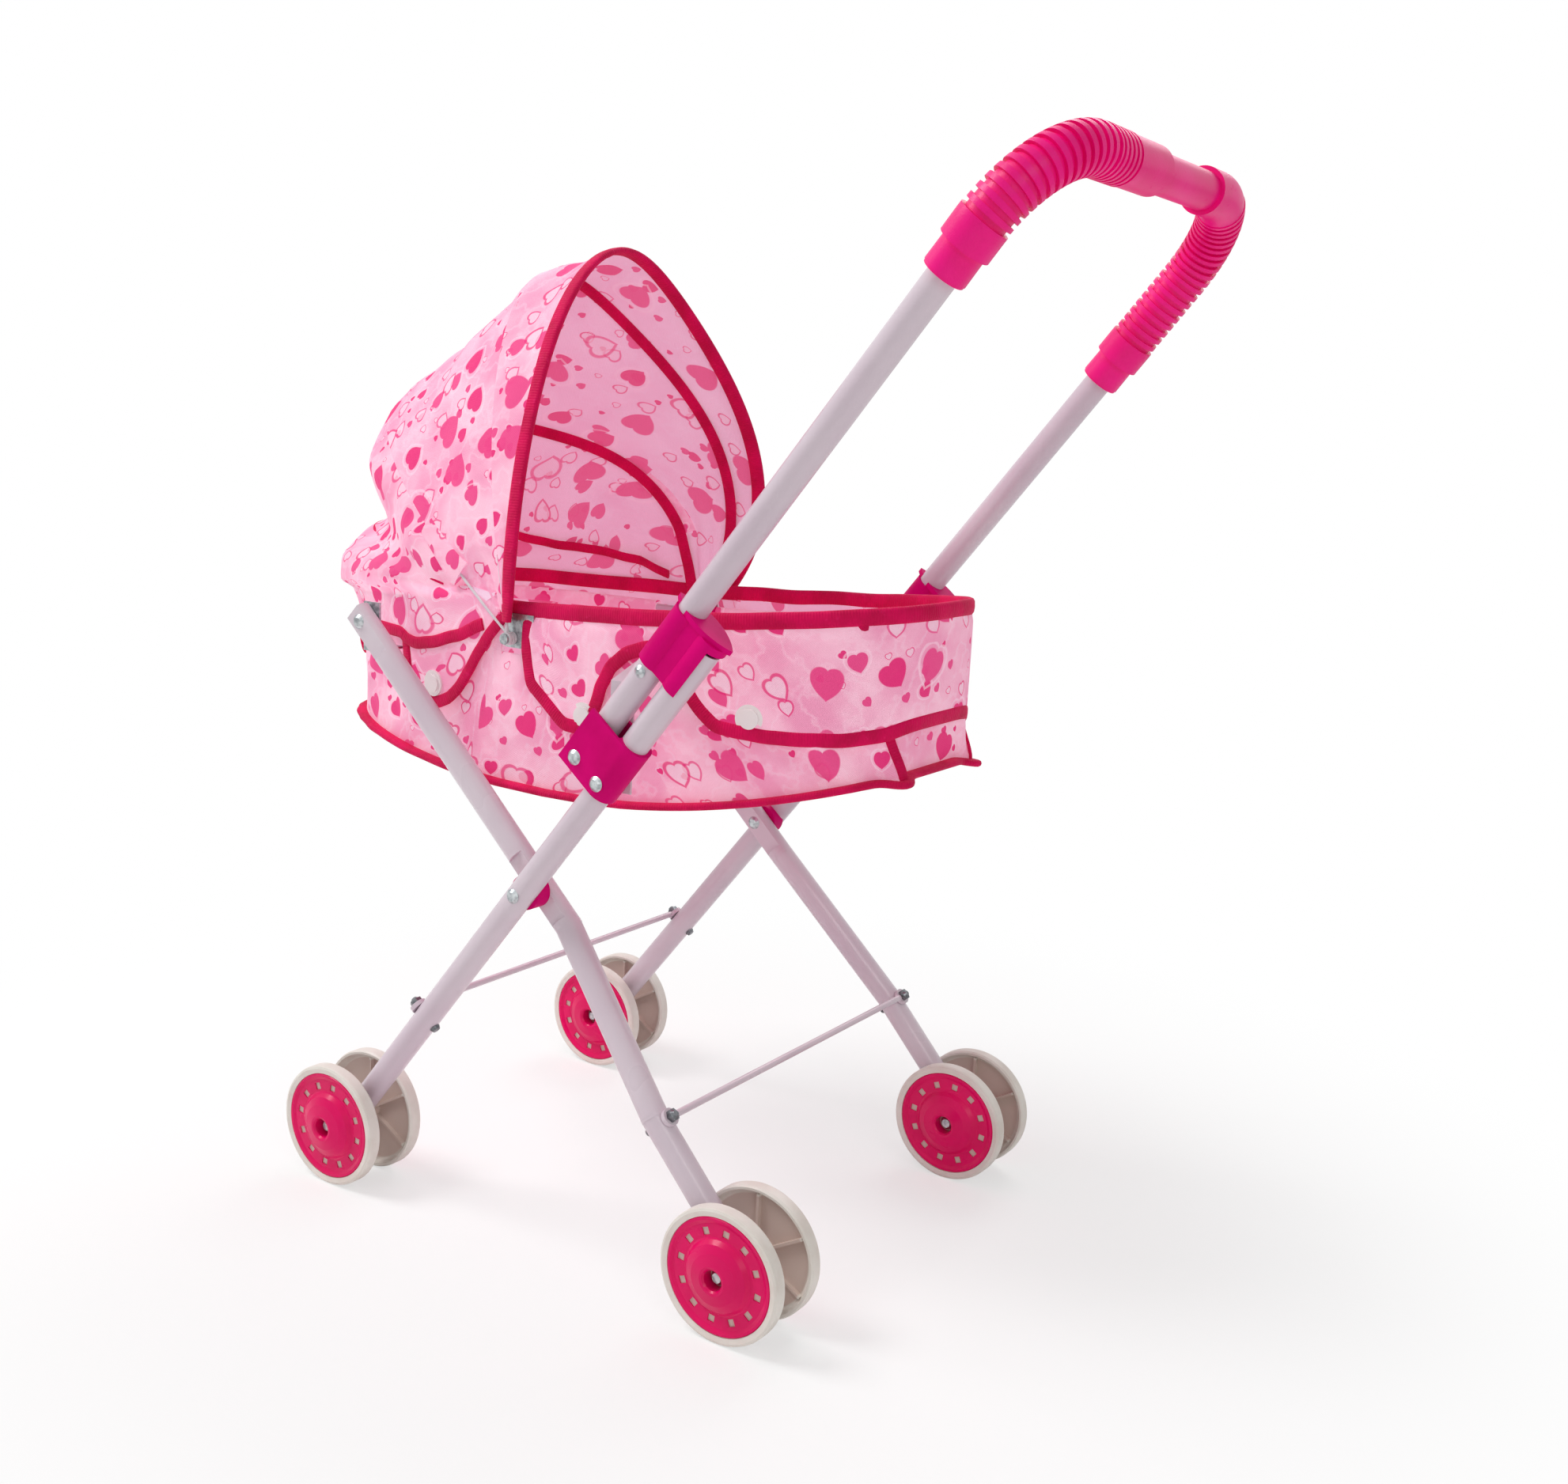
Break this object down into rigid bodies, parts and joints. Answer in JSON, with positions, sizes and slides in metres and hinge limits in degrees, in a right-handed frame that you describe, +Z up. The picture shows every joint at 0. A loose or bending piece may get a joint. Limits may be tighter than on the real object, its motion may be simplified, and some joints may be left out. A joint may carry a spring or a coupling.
{
  "type": "doll stroller",
  "caption": "Folding toy stroller for a doll: crossed tube legs, twin wheels, fabric basket, folding canopy and a swinging handle with ribbed grips.",
  "frame": {"origin": "on the ground, under the middle of the stroller's outer box", "axes": "+Z up, -X towards the head end and the way it is pushed, +X towards the handle, -Y its left side"},
  "size_m": [0.5136, 0.2764, 0.5579],
  "materials": {
    "tube_paint": "glossy pale lilac powder coat on steel tube",
    "magenta_plastic": "glossy deep magenta moulding",
    "grip_pink": "soft satin hot-pink moulding",
    "tyre": "off-white moulded wheel, slightly glossy",
    "wheel_disc": "glossy crimson-pink disc",
    "bright_steel": "bright zinc-plated steel rivets, bolts and wires",
    "hoop_wire": "coated spring wire",
    "snap_pearl": "pearly white press snap",
    "heart_fabric": "light-pink woven polyester with a printed heart pattern and crimson binding"
  },
  "bodies": {
    "frame": {"front_leg_left": "tube_paint", "front_leg_right": "tube_paint", "front_cross_wire": "bright_steel", "front_wire_bolts": "bright_steel", "crossing_rivets": "bright_steel", "crossing_spacers": "magenta_plastic", "hinge_bracket_left": "magenta_plastic", "hinge_bracket_right": "magenta_plastic", "handle_pivot_rivets": "bright_steel", "bracket_rivets": "bright_steel", "axle_front_left": "bright_steel", "axle_front_right": "bright_steel", "rim_wire": "tube_paint", "basket_tub": "heart_fabric", "basket_band": "heart_fabric", "band_snaps": "snap_pearl", "rim_hangers": "tube_paint", "rim_tabs": "bright_steel", "canopy_clamps": "magenta_plastic", "canopy_pivots": "bright_steel", "canopy_hood": "heart_fabric"},
    "rear_legs": {"rear_leg_left": "tube_paint", "rear_leg_right": "tube_paint", "rear_cross_wire": "bright_steel", "rear_wire_bolts": "bright_steel", "leg_top_rivets": "bright_steel", "axle_rear_left": "bright_steel", "axle_rear_right": "bright_steel"},
    "handle": {"handle_tube": "tube_paint", "grip_left": "grip_pink", "grip_right": "grip_pink", "crossbar_sleeve": "grip_pink", "slider_stop_rivets": "bright_steel"},
    "slider_left_body": {"slider_left": "magenta_plastic"},
    "slider_right_body": {"slider_right": "magenta_plastic"},
    "canopy_front": {"canopy_hoop_front": "hoop_wire", "canopy_panel_middle": "heart_fabric"},
    "canopy_middle": {"canopy_hoop_middle": "hoop_wire", "canopy_panel_rear": "heart_fabric"},
    "canopy_rear": {"canopy_hoop_rear": "hoop_wire"},
    "wheel_front_left_outer_body": {"wheel_front_left_outer": "tyre", "disc_front_left_outer": "wheel_disc"},
    "wheel_front_left_inner_body": {"wheel_front_left_inner": "tyre", "disc_front_left_inner": "wheel_disc"},
    "wheel_front_right_outer_body": {"wheel_front_right_outer": "tyre", "disc_front_right_outer": "wheel_disc"},
    "wheel_front_right_inner_body": {"wheel_front_right_inner": "tyre", "disc_front_right_inner": "wheel_disc"},
    "wheel_rear_left_outer_body": {"wheel_rear_left_outer": "tyre", "disc_rear_left_outer": "wheel_disc"},
    "wheel_rear_left_inner_body": {"wheel_rear_left_inner": "tyre", "disc_rear_left_inner": "wheel_disc"},
    "wheel_rear_right_outer_body": {"wheel_rear_right_outer": "tyre", "disc_rear_right_outer": "wheel_disc"},
    "wheel_rear_right_inner_body": {"wheel_rear_right_inner": "tyre", "disc_rear_right_inner": "wheel_disc"}
  },
  "joints": [
    {"name": "leg_fold", "type": "hinge", "parent": "frame", "child": "rear_legs", "pos_m": [-0.01527, 0, 0.18852], "axis": [0, 1, 0], "range_deg": [0, 56]},
    {"name": "handle_fold", "type": "hinge", "parent": "frame", "child": "handle", "pos_m": [0.02395, 0, 0.26664], "axis": [0, -1, 0], "range_deg": [0, 130]},
    {"name": "slider_left_slide", "type": "slide", "parent": "handle", "child": "slider_left_body", "axis": [0.6203, 0, 0.7843], "range_m": [0, 0.14]},
    {"name": "slider_right_slide", "type": "slide", "parent": "handle", "child": "slider_right_body", "axis": [0.6203, 0, 0.7843], "range_m": [0, 0.14]},
    {"name": "canopy_fold", "type": "hinge", "parent": "frame", "child": "canopy_front", "pos_m": [-0.05447, 0, 0.312], "axis": [0, -1, 0], "range_deg": [0, 17]},
    {"name": "canopy_middle_fold", "type": "hinge", "parent": "canopy_front", "child": "canopy_middle", "pos_m": [-0.05447, 0, 0.312], "axis": [0, -1, 0], "range_deg": [0, 41]},
    {"name": "canopy_rear_fold", "type": "hinge", "parent": "canopy_middle", "child": "canopy_rear", "pos_m": [-0.05447, 0, 0.312], "axis": [0, -1, 0], "range_deg": [0, 16]},
    {"name": "wheel_front_left_outer_spin", "type": "hinge", "parent": "frame", "child": "wheel_front_left_outer_body", "pos_m": [-0.13747, 0, 0.034], "axis": [0, 1, 0], "continuous": true},
    {"name": "wheel_front_left_inner_spin", "type": "hinge", "parent": "frame", "child": "wheel_front_left_inner_body", "pos_m": [-0.13747, 0, 0.034], "axis": [0, 1, 0], "continuous": true},
    {"name": "wheel_front_right_outer_spin", "type": "hinge", "parent": "frame", "child": "wheel_front_right_outer_body", "pos_m": [-0.13747, 0, 0.034], "axis": [0, 1, 0], "continuous": true},
    {"name": "wheel_front_right_inner_spin", "type": "hinge", "parent": "frame", "child": "wheel_front_right_inner_body", "pos_m": [-0.13747, 0, 0.034], "axis": [0, 1, 0], "continuous": true},
    {"name": "wheel_rear_left_outer_spin", "type": "hinge", "parent": "rear_legs", "child": "wheel_rear_left_outer_body", "pos_m": [0.12853, 0, 0.034], "axis": [0, 1, 0], "continuous": true},
    {"name": "wheel_rear_left_inner_spin", "type": "hinge", "parent": "rear_legs", "child": "wheel_rear_left_inner_body", "pos_m": [0.12853, 0, 0.034], "axis": [0, 1, 0], "continuous": true},
    {"name": "wheel_rear_right_outer_spin", "type": "hinge", "parent": "rear_legs", "child": "wheel_rear_right_outer_body", "pos_m": [0.12853, 0, 0.034], "axis": [0, 1, 0], "continuous": true},
    {"name": "wheel_rear_right_inner_spin", "type": "hinge", "parent": "rear_legs", "child": "wheel_rear_right_inner_body", "pos_m": [0.12853, 0, 0.034], "axis": [0, 1, 0], "continuous": true}
  ],
  "couplings": [
    {"joint": "canopy_middle_fold", "follows": "canopy_fold", "ratio": 2.3529},
    {"joint": "canopy_rear_fold", "follows": "canopy_fold", "ratio": 0.88235}
  ]
}
